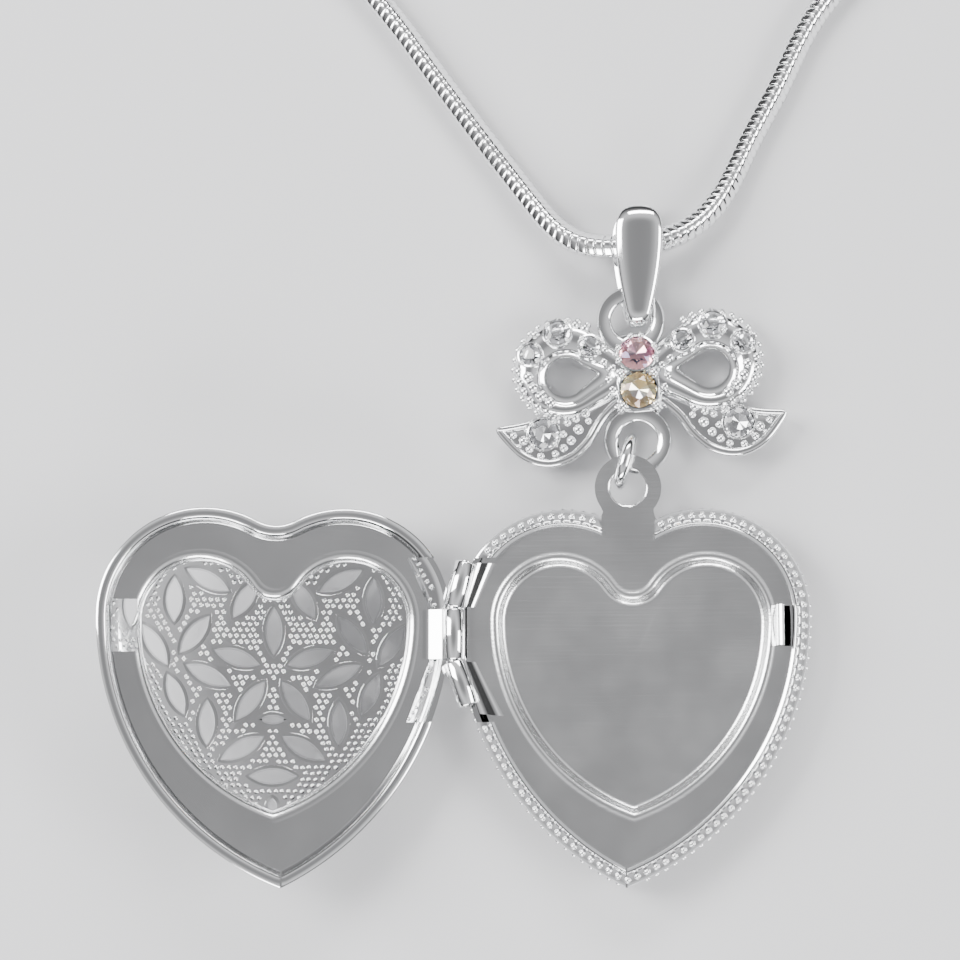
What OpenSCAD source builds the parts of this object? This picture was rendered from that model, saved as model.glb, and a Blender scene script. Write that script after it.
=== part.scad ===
// Heart locket on a snake chain, lying open on its back.
// +Z is up, +Y runs from the heart's point towards the chain.
// The origin is the middle of the flat land on the back half's crown.

/* [Heart halves] */
// Half of the heart's width at its widest level
heart_half_w = 13.2; // [12.6:0.1:13.8]
// Radius of the two upper lobes
lobe_r = 8; // [7.6:0.1:8.4]
// Distance from the widest level down to the point
heart_drop = 20.1; // [19.5:0.1:20.7]
// How far the point leans towards the hinge
tip_lean = 0.6; // [0:0.1:0.8]
// Radius that rounds the cleft between the lobes
cleft_r = 3; // [2.6:0.1:3.4]
// Depth of one half, from its crown to its rim
half_depth = 3.5; // [3.4:0.05:3.6]
// Thickness of the stamped shells
shell_t = 0.45; // [0.4:0.05:0.5]
// Radius of the domed shells
dome_r = 55; // [50:1:60]

/* [Plates] */
// Thickness of the inner plates
plate_t = 0.4; // [0.35:0.05:0.45]
// Half of the width of the heart pan and of the heart opening
pan_half_w = 9.9; // [9.5:0.1:10.1]
// Radius of the lobes of the pan and opening
pan_lobe_r = 4.4; // [4.2:0.1:4.6]
// Distance from the pan's widest level down to its point
pan_drop = 14.1; // [13.7:0.05:14.3]
// Radius that rounds the cleft of the pan and opening
pan_cleft_r = 2.2; // [1.8:0.1:2.6]
// Depth of the embossed pan
pan_depth = 0.5; // [0.3:0.05:0.55]

/* [Hinge and catch] */
// Gap between each half's outline and the hinge axis
hinge_gap = 0.15; // [0.12:0.01:0.2]
// Outer radius of the hinge knuckles
knuckle_r = 0.85; // [0.8:0.01:0.88]
// Radius of the hinge pin
pin_r = 0.35; // [0.32:0.01:0.36]
// Angle by which the open front half stops short of lying flat
open_tilt = 10; // [8:1:12]
// Width of the catch tongue
tongue_w = 3; // [2.6:0.1:3.2]

/* [Bow and links] */
// Turn of the bow on the surface
bow_turn = 3; // [0:1:4]
// Outer radius of the bow's two rings
bow_ring_r = 2.6; // [2.55:0.01:2.65]
// Radius of the jump ring, to the middle of its wire
jump_ring_r = 1.8; // [1.78:0.01:1.84]
// Half of the jump ring's wire thickness
jump_wire_r = 0.45; // [0.4:0.01:0.46]
// Half of the bail's greatest width
bail_half_w = 1.95; // [1.8:0.05:2]

/* [Chain] */
// Thickness of the snake chain
chain_d = 2; // [1.9:0.1:2]
// Radius of a coil's outermost turn
coil_r = 14.5; // [14.4:0.1:14.6]
// Turns in each stored coil
coil_turns = 2.3; // [2.3:0.05:2.35]

/* [Hidden] */
$fn = 96;
far = 60;
silver = "silver";
arc_steps = 20;

// Levels and places of the heart halves
heart_y = 4.5;
land_sink = 0.15;
plate_top = half_depth - 0.5;
plate_low = plate_top - plate_t;
hinge_x = -(heart_half_w + hinge_gap);
hinge_z = half_depth + 0.1;
pan_y = heart_y - 0.35;
lip_w = 1.3;
lip_t = 0.3;
front_lip_w = 0.85;
knuckle_low_y = 1.15;
knuckle_high_y = 5.15;
knuckle_gap = 0.1;
knuckle_len = 3.5;
low_lean = 19;
high_lean = 15;
notch_low_z = hinge_z - 1.15;

// The tab that carries the jump ring
tab_at = [-0.3, 14.15];
tab_r = 2.5;
tab_hole_r = 1.4;
tab_neck_w = 3.8;

// The bow and its links
bow_at = [0.5, 22.95];
bow_low_z = 0.6;
ring_low_z = 1.5;
ring_t = 0.85;
ring_hole_r = 1.5;
ring_side = -0.3;
upper_ring_y = 4.15;
lower_ring_y = -5.1;
jump_at = [-0.45, 16.2, 2.28];
jump_turn = -16;
bail_x = 0.5;
bail_top = [34.4, 2.15];
bail_foot = [27.75, 1.95];
bail_wall = 0.7;

// The chain: routes from the bail outwards, and the coils
chain_z = chain_d / 2;
turn_gap = 0.15;
left_coil_at = [-17.5, 71];
right_coil_at = [15.5, 71];
left_join = 195;
right_join = -15;
curl_r = 4.3;
cap_z = 1.3;
cap_r = 1.3;
cap_len = 4;
link_wire_r = 0.3;
link_r = 1.7;
link_z = 0.9;
left_route = [
    [0.5, 32.9, 2.15], [-0.8, 32.8, 2.15], [-2.1, 32.8, 2.1], [-3.6, 33.1, 1.95],
    [-5, 33.8, 1.75], [-6.3, 35, 1.5], [-7.8, 36.9, 1.2], [-9.5, 39.2, 1],
    [-11.3, 41.6, 1], [-14.7, 46.3, 1], [-18.2, 51.2, 1], [-22.6, 56.6, 1], [-27, 61.4, 1]
];
right_route = [
    [0.5, 32.9, 2.15], [1.9, 33.1, 2.15], [3.3, 33.6, 2.05], [4.6, 34.3, 1.85],
    [5.9, 35.4, 1.6], [7.1, 37, 1.3], [8.2, 39.1, 1.05], [9.3, 41.4, 1],
    [11.3, 45.1, 1], [14.5, 51.2, 1], [20, 57.3, 1], [25.4, 62, 1]
];

// Where each coil starts, and how far its spiral comes in
function on_circle(at, r, a) = [at[0] + r * cos(a), at[1] + r * sin(a)];
turn_pitch = chain_d + turn_gap;
coil_end_r = coil_r - turn_pitch * coil_turns;

// Points of an arc, both ends included
function arc_points(at, r, from_a, to_a, steps = arc_steps) = [
    for (k = [0:steps])
        let (a = from_a + (to_a - from_a) * k / steps) at + r * [cos(a), sin(a)]
];

// Radius of one side of a heart, whose point lies below, leaning by lean
function side_radius(half_w, drop, lean) = (pow(half_w + lean, 2) + pow(drop, 2)) / (2 * (half_w + lean));

// A heart outline: two lobes, a filleted cleft and two side arcs that meet at the point
module heart2d(half_w, lobe, drop, fillet, lean = 0, inset = 0) {
    lobe_x = half_w - lobe;
    fillet_y = sqrt(pow(lobe + fillet, 2) - pow(lobe_x, 2));
    rise = atan2(fillet_y, lobe_x);
    right_r = side_radius(half_w, drop, lean);
    left_r = side_radius(half_w, drop, -lean);
    right_c = half_w - right_r;
    left_c = left_r - half_w;
    right_in = right_r - inset;
    left_in = left_r - inset;
    point_x = (pow(right_in, 2) - pow(left_in, 2) - pow(right_c, 2) + pow(left_c, 2)) / (2 * (left_c - right_c));
    point_y = -sqrt(pow(right_in, 2) - pow(point_x - right_c, 2));
    polygon(concat(
        arc_points([lobe_x, 0], lobe - inset, 0, 180 - rise),
        arc_points([0, fillet_y], fillet + inset, -rise, rise - 180, 6),
        arc_points([-lobe_x, 0], lobe - inset, rise, 180),
        arc_points([left_c, 0], left_in, 180, 360 + atan2(point_y, point_x - left_c)),
        arc_points([right_c, 0], right_in, atan2(point_y, point_x - right_c), 0)
    ));
}

module outer_heart(inset) {
    translate([0, heart_y])
        heart2d(heart_half_w, lobe_r, heart_drop, cleft_r, tip_lean, inset);
}

module pan_heart(inset = 0) {
    translate([0, pan_y]) heart2d(pan_half_w, pan_lobe_r, pan_drop, pan_cleft_r, 0, inset);
}

// A band of the outer heart, between two insets
module heart_band(from_inset, to_inset, low_z, high_z) {
    translate([0, 0, low_z]) linear_extrude(height = high_z - low_z) difference() {
        outer_heart(from_inset);
        outer_heart(to_inset);
    }
}

// A stamped domed half, open at the top
module domed_half(wall_top) {
    difference() {
        dome_solid(0, wall_top);
        dome_solid(shell_t, far);
    }
}

module dome_solid(inset, top) {
    intersection() {
        linear_extrude(height = top) outer_heart(inset);
        translate([0, 0, dome_r - land_sink]) sphere(dome_r - inset);
    }
}

// The space round the knuckles, at either half's hinge side
module hinge_notch(reach_mid, reach_high, reach_low, low_z, high_z) {
    translate([hinge_x, 0, low_z]) linear_extrude(height = high_z - low_z) polygon([
        [-1, -3.4], [reach_low, -3.4], [reach_mid, knuckle_low_y],
        [reach_mid, knuckle_high_y], [reach_high, 8.9], [-1, 8.9]
    ]);
}

// A shape drawn on the back half, moved to the open front half
module on_front() {
    translate([hinge_x, 0, hinge_z]) rotate([0, open_tilt, 0])
        mirror([1, 0, 0]) translate([-hinge_x, 0, -hinge_z]) children();
}

// A leaf-shaped hole: the space between two arcs
module leaf2d(at, turn, length, width) {
    r = (pow(length, 2) + pow(width, 2)) / (4 * width);
    translate(at) rotate(turn) intersection() {
        translate([0, r - width / 2]) circle(r);
        translate([0, width / 2 - r]) circle(r);
    }
}

// Leaves of the filigree: place from the heart's widest level, turn, length, width
petals = [for (k = [0:4]) [2.9 * cos(90 + 72 * k), 2.9 * sin(90 + 72 * k) - 3.9, 90 + 72 * k, 3.9, 1.5]];
middle_leaves = [
    [0, -7.65, 0, 2.3, 0.95], [0, -11.9, 0, 3.9, 1.45], [0, -14.1, 90, 1.4, 0.9], [0, -17, 90, 2.6, 1.1]
];
paired_leaves = [
    [2.2, 1.4, -58, 3.6, 1.45], [5, 2.8, 27, 3.9, 1.45], [5.95, -1.3, -52, 3.8, 1.5],
    [4.9, -4.35, 25, 4, 1.5], [7.5, 1.3, 90, 3.7, 1.5], [8.9, -2.1, 58, 3.9, 1.45],
    [7.3, -5.8, 67, 3.6, 1.4], [4.95, -7.9, 90, 3.7, 1.45], [2.3, -9.8, -29, 4, 1.5],
    [10.7, 0.8, 90, 3.6, 1.3], [9.3, 4, 125, 3.4, 1.3], [6.1, 5.8, 175, 3.4, 1.3],
    [2.6, 4.6, 40, 3.2, 1.3], [10.4, -5, 70, 3.2, 1.3], [8.2, -9.1, 55, 3.4, 1.3],
    [5, -12.4, 45, 3.4, 1.3], [2.4, -14.9, 50, 2.6, 1.1]
];

module filigree2d() {
    translate([0, heart_y]) {
        for (leaf = concat(petals, middle_leaves)) leaf2d([leaf[0], leaf[1]], leaf[2], leaf[3], leaf[4]);
        for (side = [-1, 1]) for (leaf = paired_leaves)
            leaf2d([side * leaf[0], leaf[1]], side * leaf[2], leaf[3], leaf[4]);
    }
}

// Back half: domed shell with its rim, notched for the hinge and the tab
module back_shell() {
    color(silver) difference() {
        union() {
            domed_half(half_depth - 0.2);
            heart_band(shell_t, lip_w, plate_top, plate_top + 0.25);
            heart_band(lip_w - lip_t, lip_w, plate_top, half_depth);
        }
        hinge_notch(2, 3.4, 3.6, notch_low_z, far);
        translate([tab_at[0] - tab_neck_w / 2 - 0.1, 9.4, plate_low - 0.1])
            cube([tab_neck_w + 0.2, 5, far]);
    }
}

// Knuckle tube about the hinge line, from the middle outwards
module knuckle(from_y, to_y) {
    translate([hinge_x, from_y, hinge_z]) rotate([-90, 0, 0]) cylinder(r = knuckle_r, h = to_y - from_y);
}

// Line of one bent end of the hinge
module bent_end(high) {
    start = high ? knuckle_high_y : knuckle_low_y;
    turn = high ? -high_lean : low_lean + 180;
    translate([hinge_x, start, hinge_z]) rotate([0, 0, turn]) rotate([-90, 0, 0]) children();
}

// Outer knuckle, mitred where it meets the middle one
module outer_knuckle(high) {
    difference() {
        bent_end(high) translate([0, 0, -1]) cylinder(r = knuckle_r, h = knuckle_len + 1);
        translate([hinge_x - 2, knuckle_low_y, hinge_z - 2]) cube([4, knuckle_high_y - knuckle_low_y, 4]);
        translate([hinge_x - 2, high ? knuckle_low_y - 3 : knuckle_high_y, hinge_z - 2]) cube([4, 3, 4]);
    }
}

// Flat strip that joins a plate to its knuckles
module hinge_strip(points) {
    translate([hinge_x, 0, plate_low]) linear_extrude(height = plate_t) polygon(points);
}

// Back plate: embossed heart pan, tab, two outer knuckles and the catch tongue
module back_plate() {
    color(silver) difference() {
        union() {
            difference() {
                translate([0, 0, plate_low]) linear_extrude(height = plate_t) outer_heart(shell_t + 0.05);
                hinge_notch(1.1, 2.1, 2.6, 0, far);
                catch_window();
            }
            translate([0, 0, plate_low - pan_depth]) linear_extrude(height = pan_depth) pan_heart(-0.2);
            hinge_strip([[0, knuckle_high_y], [1.3, knuckle_high_y], [2.6, 8.5], [0.9, 8.5]]);
            hinge_strip([[0, knuckle_low_y], [1.3, knuckle_low_y], [3, -2.1], [1.1, -2.1]]);
            outer_knuckle(true);
            outer_knuckle(false);
            catch_tongue();
            tab();
        }
        translate([0, 0, plate_top - pan_depth]) linear_extrude(height = 1) pan_heart(0.2);
        bent_end(true) translate([0, 0, -1]) cylinder(r = pin_r + 0.02, h = knuckle_len + 2);
        bent_end(false) translate([0, 0, -1]) cylinder(r = pin_r + 0.02, h = knuckle_len + 2);
        translate([tab_at[0], tab_at[1], 0]) cylinder(r = tab_hole_r, h = far);
    }
}

module tab() {
    translate([0, 0, plate_low]) linear_extrude(height = plate_t) {
        translate(tab_at) circle(tab_r);
        translate([tab_at[0] - tab_neck_w / 2, 9.6]) square([tab_neck_w, 3]);
    }
}

// The tongue bends up out of its own window
tongue_x = 11;
tongue_y = 3.7;
module catch_window() {
    translate([tongue_x + 0.2, tongue_y - tongue_w / 2, 0]) cube([0.9, tongue_w, far]);
}

module catch_tongue() {
    translate([tongue_x - 0.2, tongue_y - tongue_w / 2, plate_low]) cube([plate_t, tongue_w, 2]);
    translate([tongue_x, tongue_y - tongue_w / 2, plate_low + 2])
        rotate([-90, 0, 0]) cylinder(r = plate_t / 2, h = tongue_w);
}

// Hinge pin: straight in the middle knuckle, with slimmer bent ends in the outer ones
pin_end_r = pin_r - 0.03;
pin_end_overlap = 0.09;
module hinge_pin() {
    color(silver) {
        translate([hinge_x, knuckle_low_y, hinge_z]) rotate([-90, 0, 0])
            cylinder(r = pin_r, h = knuckle_high_y - knuckle_low_y);
        for (high = [true, false]) bent_end(high) translate([0, 0, -pin_end_overlap])
            cylinder(r = pin_end_r, h = knuckle_len + pin_end_overlap + 0.1);
    }
}

// Front half: pierced domed cover with a flat lip
module front_shell() {
    color(silver) on_front() difference() {
        union() {
            domed_half(half_depth);
            heart_band(0, front_lip_w, plate_top + 0.05, half_depth);
        }
        translate([0, 0, -1]) linear_extrude(height = notch_low_z) intersection() {
            filigree2d();
            outer_heart(shell_t + 0.5);
        }
        hinge_notch(2.2, 3.6, 3.8, notch_low_z, far);
    }
}

// Front frame: heart opening, catch slot and the middle knuckle
module front_frame() {
    color(silver) on_front() difference() {
        union() {
            difference() {
                translate([0, 0, plate_low]) linear_extrude(height = plate_t) outer_heart(shell_t + 0.05);
                hinge_notch(1.8, 3.5, 3.5, 0, far);
            }
            hinge_strip([
                [0, knuckle_low_y + knuckle_gap], [2, knuckle_low_y + knuckle_gap],
                [2, knuckle_high_y - knuckle_gap], [0, knuckle_high_y - knuckle_gap]
            ]);
            knuckle(knuckle_low_y + knuckle_gap, knuckle_high_y - knuckle_gap);
        }
        linear_extrude(height = far) pan_heart();
        translate([tongue_x - 0.85, tongue_y - tongue_w / 2 - 0.45, 0]) cube([2.3, tongue_w + 0.9, far]);
        translate([hinge_x, 0, hinge_z]) rotate([-90, 0, 0]) cylinder(r = pin_r + 0.06, h = 10);
    }
}

// Outline of two discs joined by their common tangents
module tapered2d(from, from_r, to, to_r) {
    gap = norm(to - from);
    lean = acos((from_r - to_r) / gap);
    aim = atan2(to[1] - from[1], to[0] - from[0]);
    polygon(concat(
        arc_points(from, from_r, aim + lean, aim + 360 - lean),
        arc_points(to, to_r, aim - lean, aim + lean)
    ));
}

// The bow: one casting with two loops, two tails, a knot and two rings
loop_c = [5.55, 0.7];
loop_r = 3.9;
hole_c = [5.45, 0];
hole_r = 1.5;
hole_point = [3.1, 0.1];
tail_c = [7.4, -2.45];
tail_r = 3.75;

module on_bow() {
    translate([bow_at[0], bow_at[1], 0]) rotate([0, 0, bow_turn]) children();
}

module loop2d(grow = 0) {
    tapered2d(loop_c, loop_r + grow, [1.2, 0.2], 1.5 + grow);
}

module loop_hole2d(grow = 0) {
    tapered2d(hole_c, hole_r + grow, hole_point, 0.12 + grow);
}

// A tail: a crescent from the knot to an upturned tip
module tail2d() {
    difference() {
        translate(tail_c) circle(tail_r);
        translate([6.4, 2.3]) circle(4.95);
        translate([9.6, 2.5]) circle(5.75);
    }
    intersection() {
        tapered2d([1.4, -1.2], 0.9, [6.1, -4.1], 1.9);
        translate([0, -8]) square([8, 8]);
    }
}

module bow_frame() {
    color(silver) on_bow() difference() {
        union() {
            for (side = [0, 1]) mirror([side, 0, 0]) {
                translate([0, 0, bow_low_z + 0.2]) linear_extrude(height = 1.7) difference() {
                    loop2d();
                    loop_hole2d();
                }
                translate([0, 0, bow_low_z + 0.2]) linear_extrude(height = 2) difference() {
                    loop_hole2d(0.45);
                    loop_hole2d();
                }
                translate([0, 0, bow_low_z]) linear_extrude(height = 1.5) difference() {
                    tail2d();
                    loop_hole2d();
                }
            }
            translate([0, 0, bow_low_z]) linear_extrude(height = 2.1) tapered2d([0, 1.2], 1.75, [0, -1.2], 1.95);
            bow_ring(upper_ring_y);
            bow_ring(lower_ring_y);
        }
        bow_ring_hole(upper_ring_y);
        bow_ring_hole(lower_ring_y);
        stone_seats();
    }
}

module bow_ring(y) {
    translate([ring_side, y, ring_low_z]) cylinder(r = bow_ring_r, h = ring_t);
}

module bow_ring_hole(y) {
    translate([ring_side, y, -1]) cylinder(r = ring_hole_r, h = far);
}

// Stones: place on the bow, width and height of the girdle
stone_spots = [
    ["upper_centre_stone", [0, 1.45, 2.9], 2.7],
    ["lower_centre_stone", [0, -1.35, 2.9], 2.76],
    ["left_loop_top_stone", [-5.9, 3.45, 2.75], 2],
    ["left_loop_side_stone", [-8.1, 1.9, 2.75], 1.7],
    ["left_loop_inner_stone", [-3.5, 2.3, 2.75], 1.6],
    ["right_loop_top_stone", [5.9, 3.45, 2.75], 2],
    ["right_loop_side_stone", [8.1, 1.9, 2.75], 1.7],
    ["right_loop_inner_stone", [3.5, 2.3, 2.75], 1.6],
    ["left_tail_stone", [-7.4, -4.2, 2.35], 2.3],
    ["right_tail_stone", [7.4, -4.2, 2.35], 2.3]
];

// A round brilliant: crown, girdle and pavilion, whose seat is cut in the casting
module brilliant(d, loose = 0) {
    r = d / 2 + loose;
    crown = 0.15 * d;
    pavilion = 0.4 * d;
    rotate_extrude() polygon([
        [0, -pavilion - loose], [r, -0.06], [r, 0.06 + loose], [r * 0.58, crown + loose], [0, crown + loose]
    ]);
}

module stone(k) {
    color("lightcyan") on_bow() translate(stone_spots[k][1]) brilliant(stone_spots[k][2]);
}

module stone_seats() {
    for (spot = stone_spots) translate(spot[1]) brilliant(spot[2], 0.02);
}

// Ring that links the bow to the tab
module jump_ring() {
    color(silver) translate(jump_at) rotate([0, 0, jump_turn]) rotate([0, 90, 0]) wire_ring(jump_ring_r, jump_wire_r);
}

module wire_ring(r, wire_r) {
    rotate_extrude() translate([r, 0]) circle(wire_r);
}

// A side outline of the bail, extruded across it
module bail_side(half_w) {
    translate([bail_x - half_w, 0, 0]) rotate([90, 0, 90]) linear_extrude(height = 2 * half_w) children();
}

// Bail: a loop seen from its side, narrowed towards its foot
module bail() {
    foot_r = 0.8 + bail_wall - 0.1;
    color(silver) difference() {
        intersection() {
            bail_side(bail_half_w + 0.5) tapered2d(bail_top, 1.35 + bail_wall, bail_foot, foot_r);
            linear_extrude(height = 6)
                tapered2d([bail_x, bail_top[0]], bail_half_w, [bail_x, bail_foot[0] - 0.75], 0.6);
        }
        bail_side(bail_half_w + 1) tapered2d(bail_top, 1.35, bail_foot, foot_r - bail_wall + 0.1);
    }
}

// A point on the curve that runs through four neighbouring route points
function blend_point(a, b, c, d, t) =
    0.5 * (2 * b + (c - a) * t + (2 * a - 5 * b + 4 * c - d) * t * t + (3 * b - a - 3 * c + d) * t * t * t);
function route_curve(route, steps) = [
    for (k = [0:len(route) - 2]) for (s = [0:steps - 1])
        blend_point(route[max(k - 1, 0)], route[k], route[k + 1], route[min(k + 2, len(route) - 1)], s / steps),
    route[len(route) - 1]
];

// Solid tube of eight sides along a path
tube_sides = 8;
function unit(v) = v / norm(v);
function tube_ring(path, k, r) =
    let (ahead = unit(path[min(k + 1, len(path) - 1)] - path[max(k - 1, 0)]),
        across = unit(cross(ahead, [0, 0, 1])),
        over = cross(across, ahead))
    [for (s = [0:tube_sides - 1]) path[k] + r * (across * cos(45 * s + 22.5) + over * sin(45 * s + 22.5))];
module tube(path, r) {
    last = len(path) - 1;
    points = [for (k = [0:last]) each tube_ring(path, k, r)];
    walls = [for (k = [0:last - 1]) for (s = [0:tube_sides - 1])
        [k * tube_sides + s, k * tube_sides + (s + 1) % tube_sides,
            (k + 1) * tube_sides + (s + 1) % tube_sides, (k + 1) * tube_sides + s]];
    ends = [[for (s = [tube_sides - 1:-1:0]) s], [for (s = [0:tube_sides - 1]) last * tube_sides + s]];
    polyhedron(points = points, faces = concat(walls, ends), convexity = 10);
}

// The chain's inner end: it curls off the last turn and into its end cap
function curl_path(coil_at, join, way) =
    let (end = join + way * 360 * coil_turns)
    [for (k = [0:6])
        let (a = 15 * k, mid = on_circle(coil_at, coil_end_r - curl_r, end),
            spot = on_circle(mid, curl_r, end + way * a))
        [spot[0], spot[1], chain_z + (cap_z - chain_z) * k / 6]];

module chain_tube(route, coil_at, join, way) {
    start = on_circle(coil_at, coil_r, join);
    color(silver) {
        tube(route_curve(concat(route, [[start[0], start[1], chain_z]]), 2), chain_d / 2);
        tube(curl_path(coil_at, join, way), chain_d / 2);
    }
}

module chain_coil(at) {
    inner = coil_end_r - chain_d / 2;
    color(silver) translate([at[0], at[1], 0]) rotate_extrude() translate([inner, 0])
        square([coil_r + chain_d / 2 - inner, chain_d]);
}

// Frame of a coil's end fittings: the cap starts at the frame's origin and runs along +X
module at_coil_end(coil_at, join, way) {
    end = join + way * 360 * coil_turns;
    mid = on_circle(coil_at, coil_end_r - curl_r, end);
    spot = on_circle(mid, curl_r, end + way * 90);
    translate([spot[0], spot[1], 0]) rotate([0, 0, end + 180]) mirror([0, way > 0 ? 0 : 1, 0]) children();
}

// End cap: a crimped barrel with an upright eye
eye_r = 1.2;
eye_hole_r = 0.7;
eye_x = cap_len + 0.8;
module end_cap() {
    color(silver) difference() {
        union() {
            translate([0, 0, cap_z]) rotate([0, 90, 0]) cylinder(r = cap_r, h = cap_len);
            translate([eye_x, 0.35, 1.25]) rotate([90, 0, 0]) cylinder(r = eye_r, h = 0.7);
        }
        translate([eye_x + 0.1, 2, link_z + 0.1]) rotate([90, 0, 0]) cylinder(r = eye_hole_r, h = 4);
    }
}

// Small ring lying in the end cap's eye
ring_at = [eye_x + 0.1, 0, link_z];
module end_link(droop) {
    color(silver) translate(ring_at) rotate([0, droop, 0]) translate([link_r, 0, 0]) wire_ring(link_r, link_wire_r);
}

// The clasp points sideways from its ring
module at_clasp() {
    translate([ring_at[0] + link_r, link_r, 0]) rotate([0, 0, 90]) translate([-eye_r, 0, 0]) children();
}

hook_c = [6.3, 0];
hook_r = 2.5;
hook_in_r = 1.5;
lever_pivot = [4, 1.75];
clasp_low = 0.05;
clasp_t = 2.3;
body_top_y = 0.85;

// Clasp body: eye, shank and hook, forked for the lever
module clasp_body() {
    color(silver) difference() {
        union() {
            translate([eye_r, 0.35, 1.25]) rotate([90, 0, 0]) cylinder(r = eye_r, h = 0.7);
            translate([0, 0, clasp_low]) linear_extrude(height = clasp_t) {
                translate(hook_c) circle(hook_r);
                tapered2d([3.2, 0], 1, [4.6, 0], 1.7);
                tapered2d([3.6, 0.4], 0.9, lever_pivot, 0.8);
            }
        }
        translate([hook_c[0], hook_c[1], -1]) cylinder(r = hook_in_r, h = 5);
        translate([eye_r, 2, 1]) rotate([90, 0, 0]) cylinder(r = eye_hole_r, h = 4);
        translate([3, body_top_y, 0.55]) cube([7 - 3, 3, 1.3]);
        translate([4.8, body_top_y, -1]) cube([7 - 4.8, 3, 5]);
        translate([lever_pivot[0], lever_pivot[1], -1]) cylinder(r = 0.27, h = 5);
    }
}

// Clasp lever: closes the hook and turns on the rivet
module clasp_lever() {
    color(silver) translate([0, 0, 0.6]) difference() {
        linear_extrude(height = 1.2) {
            tapered2d(lever_pivot, 0.6, [6.4, 2], 0.4);
            tapered2d(lever_pivot, 0.5, [3.5, 2.9], 0.4);
        }
        translate([lever_pivot[0], lever_pivot[1], -1]) cylinder(r = 0.3, h = 5);
    }
}

module clasp_rivet() {
    color(silver) translate([lever_pivot[0], lever_pivot[1], clasp_low]) cylinder(r = 0.25, h = clasp_t);
}

// Wire spring that holds the lever shut
module clasp_spring() {
    color("gray") translate([3.1, 1, 1.2]) rotate([0, 90, 0]) cylinder(r = 0.12, h = 1.1);
}

back_shell();
back_plate();
hinge_pin();
front_shell();
front_frame();
bow_frame();
stone(0);  // upper_centre_stone
stone(1);  // lower_centre_stone
stone(2);  // left_loop_top_stone
stone(3);  // left_loop_side_stone
stone(4);  // left_loop_inner_stone
stone(5);  // right_loop_top_stone
stone(6);  // right_loop_side_stone
stone(7);  // right_loop_inner_stone
stone(8);  // left_tail_stone
stone(9);  // right_tail_stone
jump_ring();
bail();
chain_tube(left_route, left_coil_at, left_join, -1);  // left_chain
chain_coil(left_coil_at);  // left_chain_coil
at_coil_end(left_coil_at, left_join, -1) end_cap();  // left_end_cap
at_coil_end(left_coil_at, left_join, -1) end_link(9);  // end_ring
chain_tube(right_route, right_coil_at, right_join, 1);  // right_chain
chain_coil(right_coil_at);  // right_chain_coil
at_coil_end(right_coil_at, right_join, 1) end_cap();  // right_end_cap
at_coil_end(right_coil_at, right_join, 1) end_link(0);  // clasp_ring
at_coil_end(right_coil_at, right_join, 1) at_clasp() clasp_body();
at_coil_end(right_coil_at, right_join, 1) at_clasp() clasp_lever();
at_coil_end(right_coil_at, right_join, 1) at_clasp() clasp_rivet();
at_coil_end(right_coil_at, right_join, 1) at_clasp() clasp_spring();
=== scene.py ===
"""Looks of an open heart locket: domed silver halves, crystal bow, bail and snake chain.

Lengths are in millimetres until a piece is made. +Y runs from the heart's point to the chain, +Z is up.
"""

import math
import random

import bmesh
import bpy
from mathutils import Matrix, Vector


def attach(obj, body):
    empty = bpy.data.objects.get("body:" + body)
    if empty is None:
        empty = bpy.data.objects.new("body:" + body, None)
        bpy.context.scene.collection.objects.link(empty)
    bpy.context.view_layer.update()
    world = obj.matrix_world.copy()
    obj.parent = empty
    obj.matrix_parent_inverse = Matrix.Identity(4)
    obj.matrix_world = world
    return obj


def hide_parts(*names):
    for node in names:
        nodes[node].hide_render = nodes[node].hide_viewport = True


MM = 0.001
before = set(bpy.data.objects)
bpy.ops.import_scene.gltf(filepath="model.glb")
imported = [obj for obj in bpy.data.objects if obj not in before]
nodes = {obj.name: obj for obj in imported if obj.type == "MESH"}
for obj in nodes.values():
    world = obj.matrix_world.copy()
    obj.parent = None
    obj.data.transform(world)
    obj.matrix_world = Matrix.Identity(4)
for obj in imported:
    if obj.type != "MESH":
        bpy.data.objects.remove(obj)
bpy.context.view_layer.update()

# ---------------------------------------------------------------- camera, floor and light

VIEW_CENTRE = Vector((-11.55, 15.0, 1.5)) * MM
VIEW_WIDTH = 73 * MM
VIEW_DISTANCE = 200 * MM
VIEW_SIDE_TILT = 4
VIEW_FRONT_TILT = 7


def looking_along(back):
    """Rotation of a camera or light whose own +Z is back, with +Y up in its view."""
    across = Vector((0, 1, 0)).cross(back).normalized()
    up = back.cross(across)
    return Matrix((across, up, back)).transposed().to_4x4()


def add_camera():
    """A close camera, almost straight above, leaning a little to the right and the front."""
    back = Vector((math.tan(math.radians(VIEW_SIDE_TILT)), -math.tan(math.radians(VIEW_FRONT_TILT)), 1))
    back.normalize()
    data = bpy.data.cameras.new("camera")
    data.sensor_width = 36
    data.lens = data.sensor_width * VIEW_DISTANCE / VIEW_WIDTH
    data.clip_start = 0.005
    camera = bpy.data.objects.new("camera", data)
    camera.matrix_world = Matrix.Translation(VIEW_CENTRE + back * VIEW_DISTANCE) @ looking_along(back)
    bpy.context.scene.collection.objects.link(camera)
    bpy.context.scene.camera = camera


def add_softbox(name, place, size, power):
    """A soft area light at place, aimed at the middle of the view."""
    data = bpy.data.lights.new(name, "AREA")
    data.shape = "RECTANGLE"
    data.size, data.size_y = (side * MM for side in size)
    data.energy = power
    light = bpy.data.objects.new(name, data)
    at = Vector(place) * MM
    light.matrix_world = Matrix.Translation(at) @ looking_along((at - VIEW_CENTRE).normalized())
    bpy.context.scene.collection.objects.link(light)


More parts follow.
